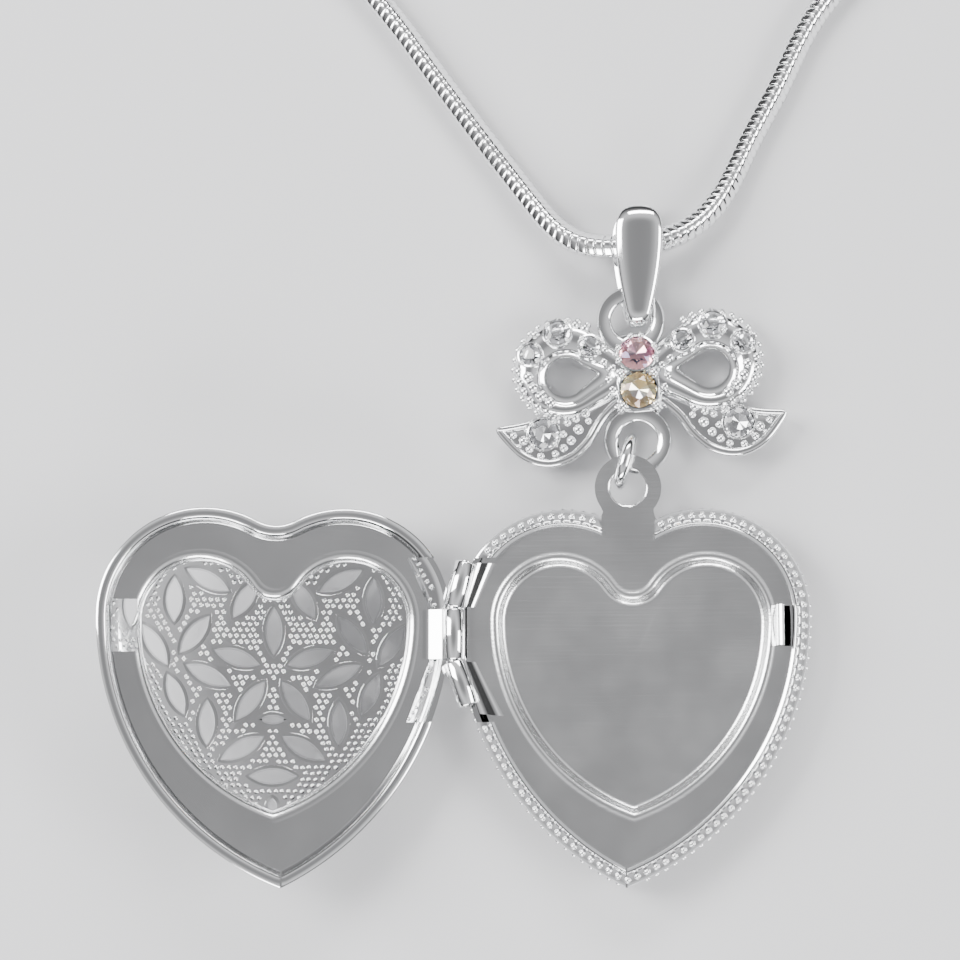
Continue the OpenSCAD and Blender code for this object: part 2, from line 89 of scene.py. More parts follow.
def add_floor():
    """A plain pale floor just under the locket."""
    half, level = 1.5, -0.02 * MM
    mesh = bpy.data.meshes.new("floor")
    corners = [(-half, -half, level), (half, -half, level), (half, half, level), (-half, half, level)]
    mesh.from_pydata(corners, [], [(0, 1, 2, 3)])
    floor = bpy.data.objects.new("floor", mesh)
    bpy.context.scene.collection.objects.link(floor)
    material = bpy.data.materials.new("floor")
    material.use_nodes = True
    shader = material.node_tree.nodes["Principled BSDF"]
    shader.inputs["Base Color"].default_value = (0.62, 0.62, 0.63, 1)
    shader.inputs["Roughness"].default_value = 0.9
    mesh.materials.append(material)


# Studio dome: sine of the elevation, brightness
DOME_LEVELS = [(0, 0.1), (0.22, 0.06), (0.5, 0.5), (0.72, 0.95), (0.86, 0.75), (0.93, 0.48),
               (0.97, 0.33), (1, 0.3)]
BLUISH = 1.02


def feed(tree, node, **values):
    """Sets a shader node's inputs to values, or links them where a value is another node's output."""
    for label, value in values.items():
        socket = node.inputs[label.replace("_", " ")]
        if isinstance(value, bpy.types.NodeSocket):
            tree.links.new(value, socket)
        else:
            socket.default_value = value


def add_node(tree, kind, **values):
    node = tree.nodes.new("ShaderNode" + kind)
    feed(tree, node, **values)
    return node


def ramp(tree, value, colours, positions=None):
    """A colour ramp, whose stops are evenly spaced unless positions are given."""
    node = add_node(tree, "ValToRGB", Fac=value)
    elements = node.color_ramp.elements
    while len(elements) < len(colours):
        elements.new(0.5)
    for k, colour in enumerate(colours):
        elements[k].position = positions[k] if positions else k / (len(colours) - 1)
        elements[k].color = (*colour, 1)
    return node.outputs["Color"]


def add_world(levels):
    """A soft studio dome, whose brightness changes with height."""
    world = bpy.data.worlds.new("studio")
    world.use_nodes = True
    tree = world.node_tree
    parts = add_node(tree, "SeparateXYZ", Vector=add_node(tree, "TexCoord").outputs["Generated"])
    height = add_node(tree, "MapRange", From_Min=-1, Value=parts.outputs["Z"])
    colours = [(brightness, brightness, BLUISH * brightness) for _, brightness in levels]
    positions = [(level + 1) / 2 for level, _ in levels]
    shades = ramp(tree, height.outputs["Result"], colours, positions)
    feed(tree, tree.nodes["Background"], Color=shades)
    bpy.context.scene.world = world


add_camera()
add_floor()
add_world(DOME_LEVELS)
add_softbox("left_softbox", (-330, 120, 260), (300, 220), 3.2)
add_softbox("right_softbox", (330, -60, 220), (160, 260), 1.8)
add_softbox("front_softbox", (-40, -330, 160), (260, 90), 1.2)
add_softbox("back_softbox", (30, 380, 240), (300, 100), 1.6)

# ---------------------------------------------------------------- materials


def new_material(name, **values):
    """A Principled material with fixed socket values, its node tree and its shader."""
    material = bpy.data.materials.new(name)
    material.use_nodes = True
    shader = material.node_tree.nodes["Principled BSDF"]
    feed(material.node_tree, shader, **values)
    return material, material.node_tree, shader


def noise(tree, scale, detail=3, stretch=(1, 1, 1), turn=0):
    """Noise over the piece's own millimetres, stretched along its axes."""
    mapping = add_node(tree, "Mapping", Scale=[1000 * s for s in stretch],
                       Rotation=(0, 0, math.radians(turn)),
                       Vector=add_node(tree, "TexCoord").outputs["Object"])
    texture = add_node(tree, "TexNoise", Scale=scale, Detail=detail, Vector=mapping.outputs["Vector"])
    return texture.outputs["Fac"]


def spread(tree, value, low, high):
    """Maps the middle of a noise to a range."""
    node = add_node(tree, "MapRange", From_Min=0.3, From_Max=0.7, To_Min=low, To_Max=high, Value=value)
    return node.outputs["Result"]


def bump(tree, shader, heights, distance):
    """Adds bumps one after another: heights lists (value, strength)."""
    last = {}
    for value, strength in heights:
        node = add_node(tree, "Bump", Strength=strength, Distance=distance * MM, Height=value, **last)
        last = {"Normal": node.outputs["Normal"]}
    feed(tree, shader, **last)


# Wipe marks on the metal: how often they repeat along and across them (and in height), the angle at
# which the fine ones cross the long ones, and their depth
LONG_MARKS = (0.16, 5, 4)
FINE_MARKS = (0.1, 8, 5)
MARKS_CROSS = 62
MARK_DEPTH = 0.05


def silver(name, tone, roughness, brushing=0.0, turn=0, waviness=0.12):
    """Rhodium-plated metal: a cloudy tone, wiped patches, fine scratches and a slight unevenness."""
    material, tree, shader = new_material(name, Metallic=1.0)
    dark = [0.96 * c for c in tone]
    feed(tree, shader, Base_Color=ramp(tree, noise(tree, 0.2, 2), (dark, tone)),
         Roughness=spread(tree, noise(tree, 0.25, 2), *roughness))
    heights = [(noise(tree, 0.2, 1), waviness)]
    if brushing:
        heights.append((noise(tree, 1.0, 2, LONG_MARKS, turn), brushing))
        heights.append((noise(tree, 1.0, 1, FINE_MARKS, turn + MARKS_CROSS), brushing * 0.4))
    bump(tree, shader, heights, MARK_DEPTH)
    return material


# The direction across the bow in which a coated stone's colour changes, and how far a foil facet
# leans along it
TINT_WAY = (0.4, 1.3, 0)
TINT_REACH = 0.36


def facet_tint(tree, shader, colours):
    """Colours the surface by the direction that each facet faces."""
    dot = add_node(tree, "VectorMath", Vector=add_node(tree, "NewGeometry").outputs["True Normal"])
    dot.operation = "DOT_PRODUCT"
    dot.inputs[1].default_value = TINT_WAY
    turned = add_node(tree, "MapRange", From_Min=-TINT_REACH, From_Max=TINT_REACH, Value=dot.outputs["Value"])
    feed(tree, shader, Base_Color=ramp(tree, turned.outputs["Result"], colours))


def crystal(name, tone, film=0.0):
    """Cut glass with a faint cloudiness. film is the thickness of an aurora coating in nanometres."""
    material, tree, shader = new_material(name, Transmission_Weight=1.0, IOR=1.65, Thin_Film_Thickness=film,
                                          Thin_Film_IOR=1.8)
    feed(tree, shader, Roughness=spread(tree, noise(tree, 2.0), 0.0, 0.03),
         Base_Color=ramp(tree, noise(tree, 1.5), ([0.96 * c for c in tone], tone)))
    return material


def aurora_foil(name, *colours):
    """The mirror under an aurora-coated stone, which flashes another colour from each facet."""
    material, tree, shader = new_material(name, Metallic=1.0)
    facet_tint(tree, shader, colours)
    feed(tree, shader, Roughness=spread(tree, noise(tree, 2.0), 0.02, 0.08))
    return material


SILVER_TONE = (0.93, 0.935, 0.94)
polished = silver("polished_silver", SILVER_TONE, (0.05, 0.1))
satin = silver("satin_silver", (0.88, 0.885, 0.89), (0.2, 0.25), brushing=0.25, turn=-35, waviness=0.3)
pan_satin = silver("pan_satin_silver", (0.92, 0.925, 0.93), (0.2, 0.26),
                   brushing=0.3, turn=-50, waviness=0.35)
frame_satin = silver("frame_satin_silver", (0.87, 0.875, 0.88), (0.15, 0.2),
                     brushing=0.1, turn=20, waviness=0.3)
cast = silver("cast_silver", (0.92, 0.925, 0.93), (0.06, 0.12), waviness=0.2)
chain_metal = silver("chain_silver", SILVER_TONE, (0.08, 0.14), waviness=0.05)
steel = silver("spring_steel", (0.55, 0.56, 0.58), (0.25, 0.4), brushing=0.2)
clear = crystal("clear_crystal", (0.98, 0.99, 1.0))
rose = crystal("aurora_rose", (1.0, 0.86, 0.86), film=320)
gold = crystal("aurora_gold", (1.0, 0.98, 0.92), film=420)
foil = silver("stone_foil", (0.97, 0.97, 0.98), (0.02, 0.05), waviness=0.0)
rose_foil = aurora_foil("aurora_rose_foil", (1.0, 0.66, 0.35), (1.0, 0.72, 0.62), (0.97, 0.62, 0.82),
                        (1.0, 0.85, 0.9))
gold_foil = aurora_foil("aurora_gold_foil", (1.0, 0.74, 0.36), (1.0, 0.96, 0.74), (1.0, 1.0, 1.0),
                        (0.95, 0.9, 1.0))

# ---------------------------------------------------------------- shapes


class Shape:
    """Points and faces of one piece."""

    def __init__(self, place=None):
        self.points = []
        self.faces = []
        self.groups = []
        self.place = place or (lambda p: p)

    def add(self, points, faces):
        base = len(self.points)
        self.points += [self.place(Vector(p)) for p in points]
        self.faces += [[base + k for k in face] for face in faces]
        self.groups += [0] * len(faces)

    def loft(self, rings, ring_shaped=False, tips=()):
        """Joins rings of equal length into a skin. Its ends are fanned to tips, or to the end rings' middles.

        A ring-shaped skin has its last ring joined to its first instead.
        """
        count = len(rings[0])
        points = [p for ring in rings for p in ring]
        faces = []
        for k in range(len(rings) - (0 if ring_shaped else 1)):
            a, b = k * count, (k + 1) % len(rings) * count
            faces += [[a + s, a + (s + 1) % count, b + (s + 1) % count, b + s] for s in range(count)]
        if not ring_shaped:
            ends = (rings[0], rings[-1])
            tips = tips or [sum((Vector(p) for p in ring), Vector()) / count for ring in ends]
            for tip, first in zip(tips, (0, (len(rings) - 1) * count)):
                faces += [[len(points), first + s, first + (s + 1) % count] for s in range(count)]
                points.append(tip)
        self.add(points, faces)

    def bead(self, at, radius, across=10, down=6):
        """A small ball."""
        rings = []
        for k in range(1, down):
            tilt = math.pi * k / down
            rings.append(raised(circle_points(at, radius * math.sin(tilt), across),
                                at[2] + radius * math.cos(tilt)))
        self.loft(rings, tips=[(at[0], at[1], at[2] + radius), (at[0], at[1], at[2] - radius)])

    def sweep(self, path, section, up=(0, 0, 1), ring_shaped=False):
        """section(k) gives the outline at the path's point k, as (across, over) pairs."""
        path = [Vector(p) for p in path]
        rings = []
        last = len(path) - 1
        for k, at in enumerate(path):
            before = path[k - 1] if k or ring_shaped else at
            after = path[(k + 1) % len(path)] if k < last or ring_shaped else at
            ahead = (after - before).normalized()
            across = ahead.cross(Vector(up)).normalized()
            over = across.cross(ahead)
            rings.append([at + across * a + over * b for a, b in section(k)])
        self.loft(rings, ring_shaped)

    def tube(self, path, radius, sides=10, up=(0, 0, 1), ring_shaped=False):
        outline = circle_points((0, 0), radius, sides)
        self.sweep(path, lambda k: outline, up, ring_shaped)


def on_circle(centre, radius, degrees, z):
    angle = math.radians(degrees)
    return (centre[0] + radius * math.cos(angle), centre[1] + radius * math.sin(angle), z)


def arc_points(centre, radius, start, end, steps):
    """Points of an arc in degrees, without its last one."""
    return [on_circle(centre, radius, start + (end - start) * k / steps, 0)[:2] for k in range(steps)]


def circle_points(centre, radius, steps):
    return arc_points(centre, radius, 0, 360, steps)


def curve_points(points, steps):
    """A smooth open curve through the points."""
    points = [Vector(p) for p in points]
    out = []
    for k in range(len(points) - 1):
        a, b, c, d = points[max(k - 1, 0)], points[k], points[k + 1], points[min(k + 2, len(points) - 1)]
        for s in range(steps):
            t = s / steps
            out.append(0.5 * (2 * b + (c - a) * t + (2 * a - 5 * b + 4 * c - d) * t * t
                              + (3 * b - a - 3 * c + d) * t ** 3))
    return out + [points[-1]]


def spaced(path, pitch, closed=False):
    """Points along a path at an even pitch."""
    path = [Vector(p) for p in path]
    if closed:
        path.append(path[0])
    lengths = [(b - a).length for a, b in zip(path, path[1:])]
    count = max(1, round(sum(lengths) / pitch))
    step = sum(lengths) / count
    out, k, done = [], 0, 0.0
    for n in range(count + (0 if closed else 1)):
        goal = min(n * step, sum(lengths) - 1e-9)
        while k < len(lengths) - 1 and done + lengths[k] < goal:
            done += lengths[k]
            k += 1
        out.append(path[k].lerp(path[k + 1], (goal - done) / lengths[k]))
    return out


def raised(ring, z):
    return [(p[0], p[1], z) for p in ring]


def mixed(ring, other, t):
    return [(p[0] + (q[0] - p[0]) * t, p[1] + (q[1] - p[1]) * t) for p, q in zip(ring, other)]


def scaled(ring, centre, s):
    return [(centre[0] + (p[0] - centre[0]) * s, centre[1] + (p[1] - centre[1]) * s) for p in ring]


def sides(outline):
    """The sides of a closed outline, each as its two ends."""
    return zip(outline, outline[1:] + outline[:1])


def inside(outline, x, y):
    hit = False
    for (ax, ay), (bx, by) in sides(outline):
        if (ay > y) != (by > y) and x < (bx - ax) * (y - ay) / (by - ay) + ax:
            hit = not hit
    return hit


def gap_to(outline, x, y):
    """Distance from a point to an outline's nearest edge."""
    best = 1e9
    for (ax, ay), (bx, by) in sides(outline):
        dx, dy = bx - ax, by - ay
        t = min(1, max(0, ((x - ax) * dx + (y - ay) * dy) / (dx * dx + dy * dy + 1e-12)))
        best = min(best, math.hypot(x - ax - dx * t, y - ay - dy * t))
    return best


def make(name, shape, body, materials, replaces=(), sharp=40, cutters=(), joined=()):
    """Turns a shape into a piece: cuts it, shades it, and lets it ride on its body."""
    piece = loose_mesh(name, shape)
    for operation, tools in (("UNION", joined), ("DIFFERENCE", cutters)):
        for tool in tools:
            combine(piece, tool, operation)
    mesh = piece.data
    for material in materials:
        mesh.materials.append(material)
    mesh.shade_smooth()
    mesh.set_sharp_from_angle(angle=math.radians(sharp))
    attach(piece, body)
    if replaces:
        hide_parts(*replaces)
    return piece


def loose_mesh(name, shape):
    mesh = bpy.data.meshes.new(name)
    mesh.from_pydata([p * MM for p in shape.points], [], shape.faces)
    mesh.polygons.foreach_set("material_index", shape.groups)
    fixed = bmesh.new()
    fixed.from_mesh(mesh)
    bmesh.ops.recalc_face_normals(fixed, faces=fixed.faces)
    fixed.to_mesh(mesh)
    fixed.free()
    piece = bpy.data.objects.new(name, mesh)
    bpy.context.scene.collection.objects.link(piece)
    return piece


def combine(piece, tool, operation):
    """Applies an exact boolean and removes its tool."""
    modifier = piece.modifiers.new("combine", "BOOLEAN")
    modifier.operation = operation
    modifier.solver = "EXACT"
    modifier.object = tool
    shown = bpy.context.evaluated_depsgraph_get()
    mesh = bpy.data.meshes.new_from_object(piece.evaluated_get(shown))
    piece.modifiers.clear()
    piece.data = mesh
    bpy.data.objects.remove(tool)


def prisms(outlines, low, high, place=None):
    """Straight-sided blocks over outlines, as one cutting tool."""
    shape = Shape(place)
    for outline in outlines:
        count = len(outline)
        faces = [[s, (s + 1) % count, count + (s + 1) % count, count + s] for s in range(count)]
        ends = [list(range(count))[::-1], list(range(count, 2 * count))]
        shape.add(raised(outline, low) + raised(outline, high), faces + ends)
    return loose_mesh("tool", shape)


def prism(outline, low, high, place=None):
    return prisms([outline], low, high, place)


# ---------------------------------------------------------------- the heart's outline and levels

HEART_Y = 4.5
OUTER = {"half": 13.2, "lobe": 8, "drop": 20.1, "fillet": 3, "lean": 0.6, "y": HEART_Y}
PAN = {"half": 9.9, "lobe": 4.4, "drop": 14.1, "fillet": 2.2, "lean": 0, "y": HEART_Y - 0.35}
LAND_SINK = 0.15
DOME_R = 55
PLATE_TOP = 3.0
PLATE_LOW = 2.6
WALL_TOP = 2.45
UNDER, OVER = -1, 9
HINGE_X = -13.35
HINGE_Z = 3.6
OPEN_TILT = math.radians(10)
MIDDLE = (0, HEART_Y - 4)


def heart(form, inset):
    """A heart outline pulled in by inset: lobes, cleft and two side arcs, always with as many points."""
    half, lobe, drop, fillet, lean = (form[k] for k in ("half", "lobe", "drop", "fillet", "lean"))
    lobe_x = half - lobe
    fillet_y = math.sqrt((lobe + fillet) ** 2 - lobe_x ** 2)
    rise = math.degrees(math.atan2(fillet_y, lobe_x))
    right_r = ((half + lean) ** 2 + drop ** 2) / (2 * (half + lean))
    left_r = ((half - lean) ** 2 + drop ** 2) / (2 * (half - lean))
    right_c, left_c = half - right_r, left_r - half
    right_in, left_in = right_r - inset, left_r - inset
    tip_x = (right_in ** 2 - left_in ** 2 - right_c ** 2 + left_c ** 2) / (2 * (left_c - right_c))
    tip_y = -math.sqrt(right_in ** 2 - (tip_x - right_c) ** 2)
    left_end = 360 + math.degrees(math.atan2(tip_y, tip_x - left_c))
    right_start = math.degrees(math.atan2(tip_y, tip_x - right_c))
    points = arc_points((lobe_x, 0), lobe - inset, 0, 180 - rise, 44)
    points += arc_points((0, fillet_y), fillet + inset, -rise, rise - 180, 14)
    points += arc_points((-lobe_x, 0), lobe - inset, rise, 180, 44)
    points += arc_points((left_c, 0), left_in, 180, left_end, 56)
    points += arc_points((right_c, 0), right_in, right_start, 0, 56)
    return [(x, y + form["y"]) for x, y in points]


EDGE = heart(OUTER, 0)
WALL_LEVEL = 2.2
EDGE_ROUNDING = 3.2


def crown(x, y):
    """Height of the domed crown's outside above the floor."""
    return max(0.0, DOME_R - LAND_SINK - math.sqrt(DOME_R ** 2 - x * x - y * y))


def cup_height(x, y, inset):
    """Height of the shell's outside: the crown, turning up into the wall near the edge."""
    low = crown(x, y)
    u = min(1.0, max(0.0, inset / EDGE_ROUNDING))
    return low + (WALL_LEVEL - low) * (1 - math.sqrt(1 - (1 - u) ** 2))


def cup_rings(thickness, lip):
    """Rings from the inside's middle, over the lip, to the outside's middle. lip lists (inset, height)."""
    insets = [3.2, 2.6, 2.1, 1.6, 1.2, 0.85, 0.55, 0.3, 0.12, 0]
    shrinks = [0.12, 0.3, 0.48, 0.66, 0.83]
    far_ring = heart(OUTER, insets[0])
    inner = [[(x, y, crown(x, y) + thickness) for x, y in scaled(far_ring, MIDDLE, s)] for s in shrinks]
    for inset in insets[:-1]:
        ring = heart(OUTER, max(inset, thickness))
        wall = thickness * (0.6 if inset < 1 else 1)
        inner.append([(x, y, cup_height(x, y, inset - thickness * 0.3) + wall) for x, y in ring])
    rim = [raised(heart(OUTER, inset), z) for inset, z in lip]
    outer = [[(x, y, cup_height(x, y, inset)) for x, y in heart(OUTER, inset)] for inset in reversed(insets)]
    outer += [[(x, y, crown(x, y)) for x, y in scaled(far_ring, MIDDLE, s)] for s in reversed(shrinks)]
    return inner + rim + outer


def to_front(p):
    """From the back half's place to the open front half's."""
    x, z = HINGE_X - p[0], p[2] - HINGE_Z
    c, s = math.cos(OPEN_TILT), math.sin(OPEN_TILT)
    return Vector((HINGE_X + x * c + z * s, p[1], HINGE_Z - x * s + z * c))


LOW_Y, HIGH_Y = 1.15, 5.15
LOW_LEAN, HIGH_LEAN = math.radians(19), math.radians(15)
KNUCKLE_LEN = 3.5
CATCH_Y = 3.7


def hinge_outline(mid, high, low):
    """Outline of the space round the knuckles.

    The arguments say how far it reaches to the right along the hinge's three parts.
    """
    foot, head = -3.4, 8.9
    corners = ((-1, foot), (low, foot), (mid, LOW_Y), (mid, HIGH_Y), (high, head), (-1, head))
    return [(HINGE_X + dx, y) for dx, y in corners]


def box_outline(x0, x1, y0, y1):
    return [(x0, y0), (x1, y0), (x1, y1), (x0, y1)]


def leaf_outline(x, y, turn, length, width):
    """A leaf-shaped hole: the space between two arcs."""
    steps = 9
    r = (length ** 2 + width ** 2) / (4 * width)
    half = math.degrees(math.asin(length / 2 / r))
    points = arc_points((0, width / 2 - r), r, 90 - half, 90 + half, steps)
    points += arc_points((0, r - width / 2), r, 270 - half, 270 + half, steps)
    c, s = math.cos(math.radians(turn)), math.sin(math.radians(turn))
    return [(x + px * c - py * s, y + px * s + py * c) for px, py in points]


# Leaf-shaped holes of the front cover: x, y from the hearts' lobe line, turn, length, width
FLOWER_AT = (0, -3.9)
PETALS = [(*p, 90 + 72 * k, 3.9, 1.5) for k, p in enumerate(arc_points(FLOWER_AT, 2.9, 90, 450, 5))]
MIDDLE_LEAVES = [(0, -7.65, 0, 2.3, 0.95), (0, -11.9, 0, 3.9, 1.45), (0, -14.1, 90, 1.4, 0.9),
                 (0, -17, 90, 2.6, 1.1)]
PAIRED_LEAVES = [
    (2.2, 1.4, -58, 3.6, 1.45), (5, 2.8, 27, 3.9, 1.45), (5.95, -1.3, -52, 3.8, 1.5),
    (4.9, -4.35, 25, 4, 1.5), (7.5, 1.3, 90, 3.7, 1.5), (8.9, -2.1, 58, 3.9, 1.45),
    (7.3, -5.8, 67, 3.6, 1.4), (4.95, -7.9, 90, 3.7, 1.45), (2.3, -9.8, -29, 4, 1.5),
    (10.7, 0.8, 90, 3.6, 1.3), (9.3, 4, 125, 3.4, 1.3), (6.1, 5.8, 175, 3.4, 1.3),
    (2.6, 4.6, 40, 3.2, 1.3), (10.4, -5, 70, 3.2, 1.3), (8.2, -9.1, 55, 3.4, 1.3),
    (5, -12.4, 45, 3.4, 1.3), (2.4, -14.9, 50, 2.6, 1.1),
]
LEAF_MARGIN = 0.95
LEAVES = PETALS + MIDDLE_LEAVES + [(side * x, y, side * turn, length, width)
                                   for side in (-1, 1) for x, y, turn, length, width in PAIRED_LEAVES]


def leaf_outlines():
    """The leaves' outlines in the heart, kept inside the shell's edge."""
    limit = heart(OUTER, LEAF_MARGIN)
    out = []
    for x, y, turn, length, width in LEAVES:
        outline = leaf_outline(x, y + HEART_Y, turn, length, width)
        kept = [p if inside(limit, *p) else min(limit, key=lambda q: math.hypot(q[0] - p[0], q[1] - p[1]))
                for p in outline]
        out.append(kept)
    return out


def front_cover():
    """Pierced domed cover: leaf-shaped holes with smooth borders in a field of beads."""
    thickness = 0.36
    lip = [(0.6, 2.9), (1.12, 2.98), (1.08, 3.06), (0.78, 3.34), (0.7, 3.44), (0.6, 3.5), (0.12, 3.5),
           (0.02, 3.42), (0, 3.3), (0, 2.9)]
    shape = Shape(to_front)
    shape.loft(cup_rings(thickness, lip))
    leaves = leaf_outlines()
    make("front_cover", shape, "front_half", [polished], ["front_shell"],
         cutters=[prisms(leaves, UNDER, WALL_TOP, to_front),
                  prism(hinge_outline(2.2, 3.6, 3.8), WALL_TOP, OVER, to_front), point_seam(to_front)])
    trim = Shape(to_front)

    def middle_height(x, y):
        return cup_height(x, y, gap_to(EDGE, x, y)) + thickness / 2

    border_r, bead_r, pitch, jitter = 0.23, 0.26, 0.5, 0.04
    border_gap, leaf_reach = 0.36, 5
    for outline in leaves:
        border = [p for k, p in enumerate(outline) if math.dist(p, outline[k - 1]) > 0.05]
        trim.tube([(x, y, middle_height(x, y)) for x, y in border], border_r, 6, ring_shaped=True)
    limit = heart(OUTER, 1.0)
    random.seed(7)
    for row in range(-40, 34):
        for column in range(-30, 31):
            x = (column + 0.5 * (row % 2)) * pitch + random.uniform(-jitter, jitter)
            y = row * pitch * 0.9 + random.uniform(-jitter, jitter)
            if not inside(limit, x, y):
                continue
            near = [leaf for leaf in leaves if math.dist(leaf[0], (x, y)) < leaf_reach]
            if not any(inside(leaf, x, y) or gap_to(leaf, x, y) < border_gap for leaf in near):
                trim.bead((x, y, middle_height(x, y)), bead_r, 8)
    make("front_cover_beads", trim, "front_half", [polished], sharp=60)


def milgrain(shape, inset, z, skip):
    """A row of small beads round the heart, but not in the skipped boxes (x0, x1, y0, y1)."""
    radius, pitch = 0.27, 0.783
    for x, y in spaced([Vector(p) for p in heart(OUTER, inset)], pitch, True):
        if not any(x0 < x < x1 and y0 < y < y1 for x0, x1, y0, y1 in skip):
            shape.bead((x, y, z), radius)


TAB_AT = (-0.3, 14.15)


def point_seam(place=None):
    """The narrow slit where the lip's two ends meet at the heart's point, as a cutting tool."""
    half, foot = 0.07, 2.75
    x, y = min(EDGE, key=lambda p: p[1])
    return prism(box_outline(x - half, x + half, y - 0.2, y + 1.5), foot, OVER, place)


def back_cover():
    """Domed back shell with a bright lip and two rows of milgrain beads."""
    lip = [(0.6, 2.98), (1.3, 2.98), (1.3, 3.3), (1.24, 3.44), (1.12, 3.5), (1.0, 3.44),
           (0.92, 3.28), (0.8, 3.2), (0.3, 3.2), (0.08, 3.12), (0, 2.95), (0, 2.7)]
    shape = Shape()
    shape.loft(cup_rings(0.42, lip))
    make("back_cover", shape, "back_half", [polished], ["back_shell"],
         cutters=[prism(hinge_outline(2, 3.4, 3.6), WALL_TOP, OVER),
                  prism(box_outline(TAB_AT[0] - 2, TAB_AT[0] + 2, 9.4, 14.4), 2.5, OVER), point_seam()])
    grain = Shape()
    tab, point = (-2.6, 2.0, 9, 15), (-1, 1, -16, -15.2)
    milgrain(grain, 0.5, 3.2, [tab, (-15, -9.8, -3.6, 9.1)])
    milgrain(grain, 0.03, 1.75, [point, (-15, -12.4, -3.6, 9.1)])
    make("back_cover_milgrain", grain, "back_half", [polished], sharp=60)


def knuckle(shape, start, lean, from_s, to_s, up=True):
    """A rolled knuckle with a bore and chamfered ends, along a line from start."""
    outer, bore, chamfer = 0.85, 0.4, 0.1
    direction = Vector((math.sin(lean), math.cos(lean), 0)) * (1 if up else -1)
    if not up:
        direction.x = -direction.x
    across = Vector((direction.y, -direction.x, 0))
    turns = [2 * math.pi * k / 40 for k in range(40)]
    rings = []
    for s, r in ((from_s, bore), (from_s, outer - chamfer), (from_s + chamfer, outer),
                 (to_s - chamfer, outer), (to_s, outer - chamfer), (to_s, bore)):
        at = Vector(start) + direction * s
        rings.append([at + across * (r * math.cos(t)) + Vector((0, 0, r * math.sin(t))) for t in turns])
    shape.loft(rings, ring_shaped=True)


def leaf_strip(shape, inner, outer, knuckle_edge):
    """Sheet that rises from the plate, at its corners inner and outer, to the knuckle's edge."""
    near, far = knuckle_edge
    sheet, rise, steps = 0.38, 0.75, 8
    rings = []
    for k in range(steps + 1):
        t = k / steps
        a = Vector(inner).lerp(Vector(near), t)
        b = Vector(outer).lerp(Vector(far), t)
        z = PLATE_TOP + 0.02 + rise * 0.5 * (1 - math.cos(math.pi * t))
        rings.append([(a.x, a.y, z), (b.x, b.y, z), (b.x, b.y, z - sheet), (a.x, a.y, z - sheet)])
    shape.loft(rings)


